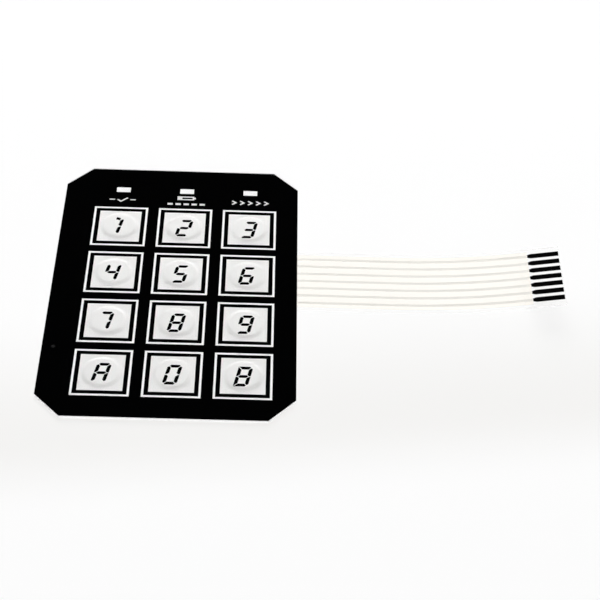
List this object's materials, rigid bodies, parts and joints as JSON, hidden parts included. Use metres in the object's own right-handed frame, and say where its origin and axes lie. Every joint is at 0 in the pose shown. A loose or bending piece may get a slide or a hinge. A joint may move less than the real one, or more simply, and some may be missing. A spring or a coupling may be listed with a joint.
{
  "type": "membrane keypad",
  "caption": "Flat membrane keypad with framed snap-dome keys, indicator windows, seven-segment legends and a printed flexible tail.",
  "frame": {"origin": "middle of the plate's rear face, on the release liner's outer face, without the tail", "axes": "+X along the tail, out of the plate; +Y towards the indicator windows; +Z out of the front of the keys"},
  "size_m": [0.127, 0.0856, 0.0052],
  "materials": {
    "graphic_film": "clear gloss polyester",
    "black_ink": "dense black screen print",
    "pale_ink": "pale grey screen print",
    "white_ink": "white screen print",
    "window_ink": "translucent white screen print",
    "adhesive": "clear acrylic transfer adhesive",
    "spacer_film": "milky polyester",
    "dome_steel": "bright rolled stainless spring steel",
    "circuit_film": "clear heat-stabilised polyester",
    "silver_ink": "matt silver polymer ink",
    "carbon_ink": "matt carbon polymer ink",
    "clear_coat": "slightly yellow clear dielectric coat",
    "stiffener_film": "translucent polyester",
    "liner_paper": "white siliconised kraft paper"
  },
  "bodies": {
    "root": {"overlay_film": "graphic_film", "black_print": "black_ink", "key_face_print": "pale_ink", "key_frame_print": "white_ink", "digit_print": "black_ink", "window_print": "window_ink", "status_symbol_print": "white_ink", "overlay_adhesive": "adhesive", "dome_spacer": "spacer_film", "dome_1": "dome_steel", "dome_2": "dome_steel", "dome_3": "dome_steel", "dome_4": "dome_steel", "dome_5": "dome_steel", "dome_6": "dome_steel", "dome_7": "dome_steel", "dome_8": "dome_steel", "dome_9": "dome_steel", "dome_a": "dome_steel", "dome_0": "dome_steel", "dome_b": "dome_steel", "circuit_adhesive": "adhesive", "silver_circuit": "silver_ink", "circuit_film": "circuit_film", "tail_insulation": "clear_coat", "contact_pads": "carbon_ink", "tail_stiffener": "stiffener_film", "rear_adhesive": "adhesive", "release_liner": "liner_paper"}
  },
  "joints": []
}
